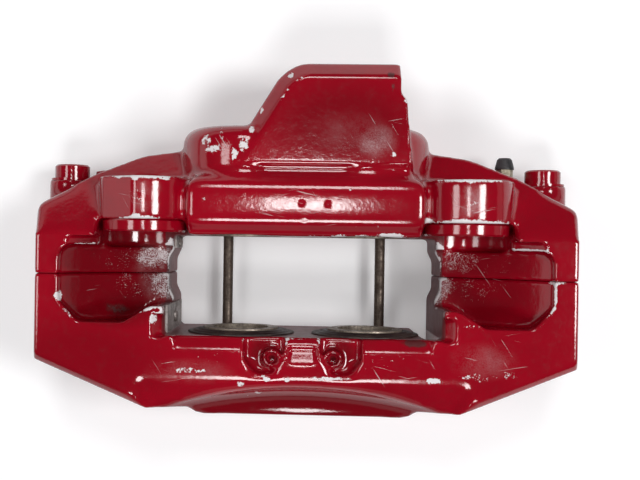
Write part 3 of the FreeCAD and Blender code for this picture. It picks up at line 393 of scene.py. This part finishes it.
def add_camera():
    data = bpy.data.cameras.new("camera")
    data.sensor_width = SENSOR
    data.lens = LENS
    data.shift_x = SHIFT_RIGHT - LENS / SENSOR * math.tan(LEAN_RIGHT)
    camera = bpy.data.objects.new("camera", data)
    camera.location = at(0.0, CAMERA_OVER_Y) + Vector((0, 0, CAMERA_TALL))
    camera.rotation_euler = (LEAN_UP, -LEAN_RIGHT, ROLL)
    bpy.context.scene.collection.objects.link(camera)
    bpy.context.scene.camera = camera


def add_bench():
    deselect()
    bpy.ops.mesh.primitive_plane_add(size=BENCH_SIZE, location=(0, 0, BENCH_Z - BENCH_GAP))
    bench = bpy.context.object
    bench.name = "bench"
    material = bpy.data.materials.new("bench_white")
    material.use_nodes = True
    tree = material.node_tree
    shader = tree.nodes["Principled BSDF"]
    shader.inputs["Base Color"].default_value = BENCH_WHITE
    shader.inputs["Roughness"].default_value = BENCH_ROUGHNESS
    shader.inputs["Specular IOR Level"].default_value = 0.0
    seen = make(tree, "ShaderNodeLightPath", {}, {}, "Is Camera Ray")
    glow = make(tree, "ShaderNodeEmission", {}, {"Strength": seen * BENCH_GLOW})
    both = make(tree, "ShaderNodeAddShader", {}, [Wire(tree, shader.outputs[0]), glow])
    tree.links.new(both.socket, tree.nodes["Material Output"].inputs["Surface"])
    bench.data.materials.append(material)


def add_softbox(name, place, target, size, power):
    data = bpy.data.lights.new(name, "AREA")
    data.shape = "RECTANGLE"
    data.size, data.size_y = size
    data.energy = power
    lamp = bpy.data.objects.new(name, data)
    lamp.location = place
    lamp.rotation_euler = (Vector(target) - Vector(place)).to_track_quat("-Z", "Y").to_euler()
    bpy.context.scene.collection.objects.link(lamp)


def add_light():
    world = bpy.data.worlds.new("studio")
    bpy.context.scene.world = world
    world.use_nodes = True
    background = world.node_tree.nodes["Background"]
    background.inputs["Color"].default_value = WORLD_TINT
    seen = make(world.node_tree, "ShaderNodeLightPath", {}, {}, "Is Camera Ray")
    strength = seen * WORLD_SEEN + WORLD_ON_OBJECT
    world.node_tree.links.new(strength.socket, background.inputs["Strength"])
    aim = at(0, 0, AIM_DEPTH)
    for name, x, y, aside, strip_power, lamp_power in SIDES:
        strip_place = (x * STRIP_AWAY + aside, y * STRIP_AWAY, STRIP_HEIGHT)
        add_softbox(f"strip_{name}", strip_place, aim, STRIP_SIZE, strip_power)
        lamp_place = (x * LAMP_AWAY_X, y * LAMP_AWAY_Y, LAMP_HEIGHT)
        add_softbox(f"lamp_{name}", lamp_place, aim, LAMP_SIZE, lamp_power)
    over_place = at(OVER_X, OVER_Y) + Vector((0, 0, OVER_HEIGHT))
    add_softbox("lamp_over", over_place, aim, OVER_SIZE, OVER_POWER)


add_camera()
add_bench()
add_light()

scene = bpy.context.scene
scene.view_settings.view_transform = "Standard"

# ---- finishes

# colours of the paint and of what shows through it or lies on it
RED = (0.32, 0.001, 0.011)
# the dark red is the paint's random darker tone and also paints shade into the hollows, recesses and under
# the lugs
DARK_TONE_AND_SHADE_RED = (0.11, 0.0004, 0.003)
# the primer colour also paints highlights onto the lug tops
PRIMER = (0.72, 0.68, 0.69)
BRAKE_DUST = (0.045, 0.020, 0.020)
SMEAR = (0.05, 0.012, 0.012)

# a mark and a noise add up, and the paint is whole below the first number and gone above the second
CHIP_EDGE = (0.80, 0.83)
GRIT_EDGE = (0.80, 0.84)
HAIRLINE_EDGE = (0.83, 0.90)
CHIP_WEIGHT = 0.46
GRIT_WEIGHT = 0.31
HAIRLINE_WEIGHT = 0.18

# hairline scratches run three ways
HAIRLINE_TURNS = (0.22, -0.18, 1.0)
HAIRLINE_STRETCH = (1.0, 34.0, 1.0)
HAIRLINE_SHIFT = 5.2

# how strongly the haze, and the painted highlight on the lug tops, lighten the red
HAZE_AND_HIGHLIGHT_STRENGTH = 0.22
SMEAR_STRENGTH = 0.85
DUST_STRENGTH = 0.9
GLOSS_ROUGHNESS = 0.07
COAT = 0.3
PEEL_DEPTH = 0.16
FINE_GRAIN = 700
GRAIN_DEPTH = 0.05


def red_paint(name, bare=PRIMER):
    """Thick glossy red over metal. The pieces carry where it is chipped, gritty, scratched or dusty, where
    shade is painted into its hollows and where highlights are painted onto the lug tops.
    """
    paint = Finish(name, RED, 0.16, 0.0, Coat_Roughness=0.08, Coat_IOR=1.5, Specular_IOR_Level=0.45)
    coarse = paint.noise(190, 5.0, 0.7, shift=3.1)
    fine = paint.noise(1000, 4.0, 0.65, shift=1.7)
    grain = paint.noise(1900, 2.0, 0.6, shift=0.7)
    flake = paint.noise(420, 4.0, 0.72, shift=2.3)
    edge_chips = (paint.attribute("chip") * CHIP_WEIGHT + flake * 0.75 + fine * 0.25).ramp(*CHIP_EDGE)
    wear_chips = (paint.attribute("wear") * CHIP_WEIGHT + flake * 0.8 + fine * 0.2).ramp(*CHIP_EDGE)
    grit = (paint.attribute("grit") * GRIT_WEIGHT + grain * 0.65 + coarse * 0.35).ramp(*GRIT_EDGE)
    scratch = paint.attribute("scratch") * HAIRLINE_WEIGHT
    hairlines = [
        (scratch + paint.noise(34, 2.0, 0.5, HAIRLINE_STRETCH, HAIRLINE_SHIFT + i, turn)).ramp(*HAIRLINE_EDGE)
        for i, turn in enumerate(HAIRLINE_TURNS)
    ]
    scratches = hairlines[0].most(hairlines[1]).most(hairlines[2])
    bare_metal = edge_chips.most(wear_chips).most(grit * 0.75).most(scratches * 0.5)
    # the red darkens in random patches, and painted shade darkens it in hollows, recesses and under the lugs
    depth = (paint.noise(22, 3.0).ramp(0.35, 0.7) * 0.35).most(paint.attribute("deep"))
    tone = paint.mix(depth, RED, DARK_TONE_AND_SHADE_RED)
    cloud = paint.noise(75, 5.0, 0.6, shift=6.3)
    # a whitish film, and on the lug tops a painted highlight in the primer colour
    haze_and_highlight = (paint.attribute("haze_and_highlight") * (cloud * 0.6 + grain * 0.4).ramp(0.40, 0.68)) * HAZE_AND_HIGHLIGHT_STRENGTH
    tone = paint.mix(haze_and_highlight, tone, PRIMER)
    smear = (paint.attribute("smear") + coarse * 0.8).ramp(0.75, 1.0) * SMEAR_STRENGTH
    tone = paint.mix(smear, tone, SMEAR)
    dust = (paint.attribute("dust") * 1.2 + coarse * 0.5 - 0.25).ramp(0.0, 1.0)
    tone = paint.mix(dust * DUST_STRENGTH, tone, BRAKE_DUST)
    paint.set("Base Color", paint.mix(bare_metal, tone, bare))
    dull = bare_metal.most(dust).most(haze_and_highlight)
    peel = paint.noise(430, 2.0)
    paint.set("Roughness", dull.most(smear * 0.6) * 0.5 + peel * 0.06 + GLOSS_ROUGHNESS)
    paint.set("Coat Weight", COAT - dull.most(smear) * COAT)
    paint.bump(peel * 0.56 + paint.noise(90, 2.0) * 0.8 - bare_metal * 0.6, PEEL_DEPTH, 0.6)
    return paint


def plain_metal(name, colour, stain, roughness, metallic):
    """Bare or plated metal with dirt in patches."""
    metal = Finish(name, colour, roughness, metallic)
    dirt = (metal.noise(120, 4.0) * 0.6 + metal.noise(FINE_GRAIN, 3.0) * 0.4).ramp(0.42, 0.62)
    metal.set("Base Color", metal.mix(dirt, colour, stain))
    metal.set("Roughness", dirt * 0.25 + roughness)
    metal.set("Metallic", metallic - dirt * 0.5)
    metal.bump(metal.noise(FINE_GRAIN, 3.0), GRAIN_DEPTH, 0.5)
    return metal


def rubber(name, colour, dust):
    """Dark rubber with dust in patches."""
    skin = Finish(name, colour, 0.6, 0.0)
    dusty = (skin.noise(90, 4.0) * 0.6 + skin.noise(900, 3.0) * 0.4).ramp(0.45, 0.7)
    skin.set("Base Color", skin.mix(dusty, colour, dust))
    skin.set("Roughness", dusty * 0.3 + 0.45)
    skin.bump(skin.noise(FINE_GRAIN, 2.0), GRAIN_DEPTH, 0.5)
    return skin


# ---- castings

VOXEL = 1.15 * MM
MOST_TRIANGLES = 190000
SOFT_LEVELS = (0.25, 0.5, 0.75, 1.0)
SMOOTHING = 0.5
SKIN_TURNS = 5

# how far a point stands out, in mm, where its edge chips fully, and the chipping every edge has
CHIPPED_STAND = 0.35
PLAIN_CHIPPING = 0.22
# the most that the painted shade darkens the red
DEEPEST_PAINTED_SHADE = 0.75

# the window's walls, where brake dust settles
WINDOW_HALF = 79.5
WINDOW_TOP = -6
WINDOW_NEAR = -32.9
WINDOW_FAR = 26
WINDOW_DUST = 0.55


def casting_skin(node, name):
    """The casting with every edge rounded as a sand casting's are."""
    piece = copy_of(node, name)
    finish_modifier(piece, "REMESH", mode="VOXEL", voxel_size=VOXEL, use_smooth_shade=True)
    finish_modifier(piece, "SMOOTH", factor=SMOOTHING, iterations=SKIN_TURNS)
    return piece


def soften(piece, chosen, turns):
    """Smooths the chosen points further, by a vertex group."""
    group = piece.vertex_groups.new(name="soft")
    for level in SOFT_LEVELS:
        band = np.nonzero((chosen > level - SOFT_LEVELS[0]) & (chosen <= level))[0]
        group.add(band.tolist(), level, "REPLACE")
    finish_modifier(piece, "SMOOTH", factor=SMOOTHING, iterations=turns, vertex_group="soft")
    piece.vertex_groups.clear()


def soften_box(piece, low, high, fade, turns):
    """Smooths what lies in a box given by two corners in mm."""
    soften(piece, inside(points_of(piece), low, high, fade), turns)


def press_dimples(piece, dimples):
    """Small round dents in an upward face, each (x, y, radius, depth)."""
    co = points_of(piece)
    normal = normals_of(piece)
    for x, y, radius, depth in dimples:
        away = np.hypot(co[:, 0] - at(x, y).x, co[:, 1] - at(x, y).y) / (radius * MM)
        dent = np.clip(1 - away**2, 0, 1) * (normal[:, 2] > 0.6) * (co[:, 2] > at(0, 0, -3).z)
        co[:, 2] -= dent * depth * MM
    piece.data.vertices.foreach_set("co", co.astype(np.float32).ravel())
    piece.data.update()


def close_skin(piece, node, marks):
    """Ends a casting: its marks go in as attributes for the paint, and it takes its node's place."""
    triangles = sum(len(p.vertices) - 2 for p in piece.data.polygons)
    if triangles > MOST_TRIANGLES:
        finish_modifier(piece, "DECIMATE", ratio=MOST_TRIANGLES / triangles)
    choose(piece)
    bpy.ops.object.shade_smooth()
    co = points_of(piece)
    stand = np.clip(standing_out(piece) / CHIPPED_STAND, 0, 1)
    store(piece, "chip", stand * (PLAIN_CHIPPING + most_near(co, marks["chip"])))
    for kind in ("wear", "grit", "scratch", "haze_and_highlight", "smear"):
        store(piece, kind, most_near(co, marks[kind]))
    # painted shade: the red is darkened in the recesses, the hollows and under the lug flanges
    store(piece, "deep", np.clip(most_near(co, marks["deep"]), 0, DEEPEST_PAINTED_SHADE))
    in_window = (np.abs(co[:, 0]) < WINDOW_HALF * MM) & (co[:, 2] < at(0, 0, WINDOW_TOP).z)
    in_window &= (co[:, 1] > at(0, WINDOW_NEAR).y) & (co[:, 1] < at(0, WINDOW_FAR).y)
    store(piece, "dust", in_window * WINDOW_DUST)
    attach(piece, "housing")
    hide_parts(node)
    dress(piece, RED_PAINT)


# marks on the paint: x, y, z, reach along x, y and z, amount
OUTBOARD_MARKS = {
    "chip": [
        (-81, -22, -2, 9, 13, 9, 0.9), (-124, -14, -2, 10, 14, 9, 0.8), (-20, -55, 0, 34, 7, 8, 0.9),
        (18, -55, 0, 30, 7, 8, 0.8), (-74, -9, -42, 16, 16, 16, 0.9), (74, -9, -42, 16, 18, 16, 1.0),
        (134, -10, -2, 10, 18, 8, 0.9), (60, -68, -8, 44, 9, 10, 0.6), (-60, -68, -8, 44, 9, 10, 0.5),
        (-52, -56, 0, 34, 5, 6, 0.8), (84, -56, 0, 26, 6, 6, 0.7), (0, -34, -2, 60, 5, 6, 0.5),
    ],
    "wear": [
        (-61, -51, 0, 15, 2.6, 6, 0.75), (-81, -24, -2, 3.5, 5, 6, 0.95), (70, -54, 0, 7, 2.6, 6, 0.95),
        (-33, -58, -1, 3.4, 2.2, 6, 1.0), (-19, -55, 0, 3.6, 2.4, 6, 1.0), (-8, -55, 0, 2.6, 2.2, 6, 0.95),
        (92, -52, 0, 16, 4, 6, 0.6), (20, -36, -2, 9, 4, 6, 0.5), (-133, -12, -2, 3.6, 4.6, 6, 1.0),
        (14, -54, 0, 18, 2.0, 5, 0.85), (108, -50, -1, 12, 4, 6, 0.55), (-30, -66, -8, 5, 2.2, 6, 0.9),
        (-24, -64, -8, 4, 2, 6, 0.8), (90, -25, -1, 12, 2.0, 6, 0.6), (-48, -44, 0, 30, 8, 4, 0.34),
        (40, -44, 0, 44, 10, 4, 0.36),
    ],
    "grit": [
        (-78, -6, -38, 19, 15, 18, 1.0), (-92, -5, -30, 34, 19, 28, 0.62), (77, -5, -38, 14, 17, 16, 1.0),
        (92, -4, -28, 36, 20, 30, 0.58), (76, -8, -40, 6, 12, 14, 1.2), (112, -5, -16, 30, 16, 20, 0.42),
    ],
    "scratch": [
        (50, -45, 0, 44, 24, 8, 0.75), (105, -38, 0, 38, 26, 10, 0.62), (-70, -52, 0, 42, 18, 8, 0.7),
        (100, -4, -20, 36, 18, 26, 0.6), (-105, -6, -20, 36, 18, 26, 0.7),
    ],
    "haze_and_highlight": [(96, -43, 0, 20, 11, 8, 0.5), (-60, -52, 0, 26, 8, 6, 0.5), (-78, -3, -40, 20, 17, 16, 1.0)],
    "smear": [(-98, -20, -20, 18, 7, 14, 0.8), (60, -34, -2, 12, 4, 6, 0.7)],
    # painted shade: darker red in the recesses, along the low lip and in the hollows round the pistons
    "deep": [
        (-102, -8, -24, 48, 34, 40, 1.7), (100, -8, -24, 44, 30, 40, 0.6), (0, -74, -12, 100, 14, 18, 1.3),
        (-20, -42, -6, 14, 14, 8, 0.8), (20, -42, -6, 14, 14, 8, 0.8), (-120, -50, 0, 70, 40, 20, 0.45),
    ],
}
INBOARD_MARKS = {
    "chip": [
        (-28, 71, -3, 13, 16, 10, 0.95), (-14, 100, -3, 10, 14, 8, 0.85), (-6, 110, -3, 12, 9, 8, 0.9),
        (40, 22, -2, 22, 7, 8, 1.0), (8, 22, -2, 20, 6, 8, 0.9), (88, 30.5, 0, 28, 5, 24, 1.0),
        (-88, 30.5, 6, 16, 5, 14, 0.9), (-90, 52, 6, 26, 6, 16, 0.9), (88, 52, 6, 26, 6, 16, 0.8),
        (-76, 12, -40, 18, 14, 16, 1.0), (76, 12, -40, 18, 14, 16, 1.0), (118, 16, -6, 22, 7, 14, 0.9),
        (-116, 14, -8, 20, 7, 14, 0.6), (54, 98, -2, 7, 10, 8, 0.6), (-113, 42, 0, 5, 18, 20, 0.6),
    ],
    "wear": [
        (-33, 71, -3, 5.5, 8, 8, 0.85), (-38, 66, -3, 4, 6, 8, 0.95), (-29, 79, -4, 3, 4, 8, 0.9),
        (-24, 90, -4, 2.6, 4, 8, 0.8), (-9, 109, -3, 3.6, 3.4, 6, 0.95), (46, 23, -2, 13, 3.0, 7, 0.95),
        (31, 22.5, -3, 6, 2.4, 6, 0.9), (18, 22.4, -3, 8, 2.4, 6, 0.85), (-50, 69, -4, 9, 4, 8, 0.85),
        (-54, 73, -6, 5, 6, 8, 0.75), (-45, 75, -6, 3, 8, 8, 0.7), (66, 31, 0, 5, 3, 9, 0.95),
        (84, 31, 8, 14, 2.4, 6, 0.95), (-54, 41, 3, 3, 4, 6, 0.7), (24, 47, 5, 4, 2.6, 5, 0.6),
        # the two spots at x ±88, z 10 on the lug tops paint part of the highlight there as light wear
        (47, 66, 0, 3.4, 2.4, 5, 0.8), (-88, 41, 10, 6, 9, 4, 0.5), (88, 40, 10, 8, 9, 4, 0.5),
        (-74, 52, 6, 5, 2.4, 6, 0.9), (38, 27, 4, 30, 4, 4, 0.42), (117, 17, -6, 3, 5, 8, 0.8),
    ],
    "grit": [
        (-84, 9, -36, 26, 12, 18, 1.0), (-102, 8, -26, 34, 14, 28, 0.56), (86, 9, -34, 28, 12, 20, 0.8),
        # the two spots at x ±89, z 9 on the lug tops paint a speckled highlight as light grit
        (104, 8, -24, 36, 14, 26, 0.5), (-89, 44, 9, 10, 12, 10, 0.6), (90, 44, 9, 10, 12, 10, 0.6),
        (72, 12, -38, 10, 8, 18, 1.1),
    ],
    "scratch": [
        (-46, 72, -1, 15, 11, 8, 1.15), (0, 38, 5, 62, 15, 8, 0.75), (40, 78, 0, 24, 20, 8, 0.75),
        # the two spots at x ±88, z 9 on the lug tops paint the highlight's streaks as scratches
        (88, 42, 9, 24, 15, 12, 0.8), (-88, 42, 9, 24, 15, 12, 0.7), (100, 8, -20, 36, 13, 26, 0.6),
    ],
    # haze: a whitish film on the block and in the recess; the two spots on the lug tops paint a broad
    # highlight
    "haze_and_highlight": [
        (38, 73, 0, 12, 10, 8, 1.3), (24, 78, 0, 24, 12, 8, 0.25), (-82, 6, -38, 22, 14, 16, 0.8),
        (87, 41, 10, 9, 12, 6, 1.7), (-86, 42, 10, 6, 11, 6, 1.2),
    ],
    "smear": [(45, 109, 0, 3.2, 4, 6, 0.75), (46, 102, 0, 2.4, 6, 6, 0.5), (26, 108, 0, 22, 3, 6, 0.3)],
    # painted shade: darker red in the recesses, the middle of the block, the trough below it and under the
    # lug flanges
    "deep": [
        (-102, 8, -24, 48, 18, 40, 1.9), (100, 8, -24, 44, 16, 40, 0.6), (22, 82, 0, 60, 34, 12, 0.6),
        (0, 57, -4, 66, 7, 8, 0.5), (-88, 25, 0, 30, 7, 30, 0.8), (88, 25, 0, 30, 7, 30, 0.6),
    ],
}
RED_PAINT = red_paint("red_paint")

# what is smoothed further: low corner, high corner and fade in mm, and the turns
OUTBOARD_FOOT = ((-88, -63, -10), (88, -50, 2), 5, 45)
BLOCK_FOOT = ((-52, 56, -12), (60, 59, 3), 3, 8)
MIDDLE_BAND = ((-66, 19, -9), (66, 56, 8), 3, 60)
RIGHT_ARCH_END = ((116, 25, -40), (152, 46, 2), 3.5, 70)
LEFT_ARCH_END = ((-152, 25, -40), (-116, 46, 2), 3.5, 70)

# the inboard casting's hollows beyond the lugs are smoothed as well
FULL_HOLLOW = 0.10
HOLLOWS_BEYOND_Y = 31.5
HOLLOWS_ABOVE_Z = -46
HOLLOW_TURNS = 40

# dents in the middle band: x, y, radius and depth
BAND_DIMPLES = ((-1.6, 39.4, 1.5, 0.4), (12.3, 39.2, 1.5, 0.4), (0, 30.3, 1.3, 0.3))


def add_castings():
    outboard = casting_skin("outboard_half", "outboard_casting")
    soften_box(outboard, *OUTBOARD_FOOT)
    close_skin(outboard, "outboard_half", OUTBOARD_MARKS)
    inboard = casting_skin("inboard_half", "inboard_casting")
    co = points_of(inboard)
    hollow = np.clip(-standing_out(inboard, 6) / FULL_HOLLOW, 0, 1)
    outside = (co[:, 1] > at(0, HOLLOWS_BEYOND_Y).y) & (co[:, 2] > at(0, 0, HOLLOWS_ABOVE_Z).z)
    soften(inboard, hollow * outside, HOLLOW_TURNS)
    for region in (BLOCK_FOOT, MIDDLE_BAND, RIGHT_ARCH_END, LEFT_ARCH_END):
        soften_box(inboard, *region)
    press_dimples(inboard, BAND_DIMPLES)
    close_skin(inboard, "inboard_half", INBOARD_MARKS)


add_castings()

# ---- pistons, boots, pins and small parts

TAN_METAL = plain_metal("piston_alloy", (0.36, 0.30, 0.24), (0.12, 0.095, 0.075), 0.38, 0.6)
PIN_METAL = plain_metal("pin_steel", (0.13, 0.10, 0.08), (0.05, 0.03, 0.02), 0.42, 0.8)
PLATE_METAL = plain_metal("plate_steel", (0.42, 0.38, 0.36), (0.16, 0.13, 0.12), 0.35, 0.7)
ZINC_METAL = plain_metal("zinc_steel", (0.46, 0.42, 0.32), (0.24, 0.20, 0.14), 0.35, 0.9)
BOOT_RUBBER = rubber("boot_rubber", (0.022, 0.012, 0.012), (0.11, 0.075, 0.06))
CAP_RUBBER = rubber("cap_rubber", (0.02, 0.018, 0.02), (0.06, 0.055, 0.06))
SEAL_RUBBER = rubber("seal_rubber", (0.012, 0.012, 0.012), (0.03, 0.03, 0.03))
BOLT_PAINT = red_paint("bolt_paint")
BUSH_PAINT = red_paint("bush_paint", (0.42, 0.36, 0.24))

# a boot's folds from its rim round to its underside: radius and height in mm
BOOT_FOLDS = (
    (30.0, 0.0), (30.2, -0.35), (29.8, -0.8), (28.6, -0.9), (27.9, -0.7), (27.3, -0.75),
    (26.9, -1.25), (26.1, -1.7), (25.2, -1.6), (24.7, -1.2), (24.2, -1.25), (23.7, -1.9),
    (22.9, -2.35), (22.1, -2.3), (21.6, -1.9), (21.2, -1.8), (20.6, -1.9), (19.6, -1.45),
    (19.5, -0.6), (20.6, -0.4), (21.6, -0.5), (22.4, -0.3), (23.4, -0.1), (25.0, -0.05),
    (27.0, -0.02), (30.0, 0.0),
)


def add_boots():
    for row, way in (("inboard", 1), ("outboard", -1)):
        for side in ("left", "right"):
            place = f"{row}_{side}"
            low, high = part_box(f"dust_boot_{place}")
            base = high.y if way > 0 else low.y
            centre = Vector(((low.x + high.x) / 2, base, (low.z + high.z) / 2))
            folds = [(radius, height * way) for radius, height in BOOT_FOLDS]
            boot = ring_stack(f"boot_{place}", centre, folds)
            choose(boot)
            bpy.ops.object.shade_smooth()
            dress(boot, BOOT_RUBBER)
            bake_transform(boot)
            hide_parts(f"dust_boot_{place}")


add_boots()

# the first row whose words begin a part's name gives its finish
HARDWARE_FINISHES = (
    (("piston_seal", "crossover_seals"), SEAL_RUBBER),
    (("piston_",), TAN_METAL),
    (("pad_pin",), PIN_METAL),
    (("abutment",), PLATE_METAL),
    (("bleed_cap",), CAP_RUBBER),
    (("bridge_bolts_outer", "passage_plugs"), BOLT_PAINT),
    (("mounting_bush",), BUSH_PAINT),
    (("",), ZINC_METAL),
)

for name, node in NODES.items():
    if not node.hide_render:
        dress(node, next(finish for words, finish in HARDWARE_FINISHES if name.startswith(words)))
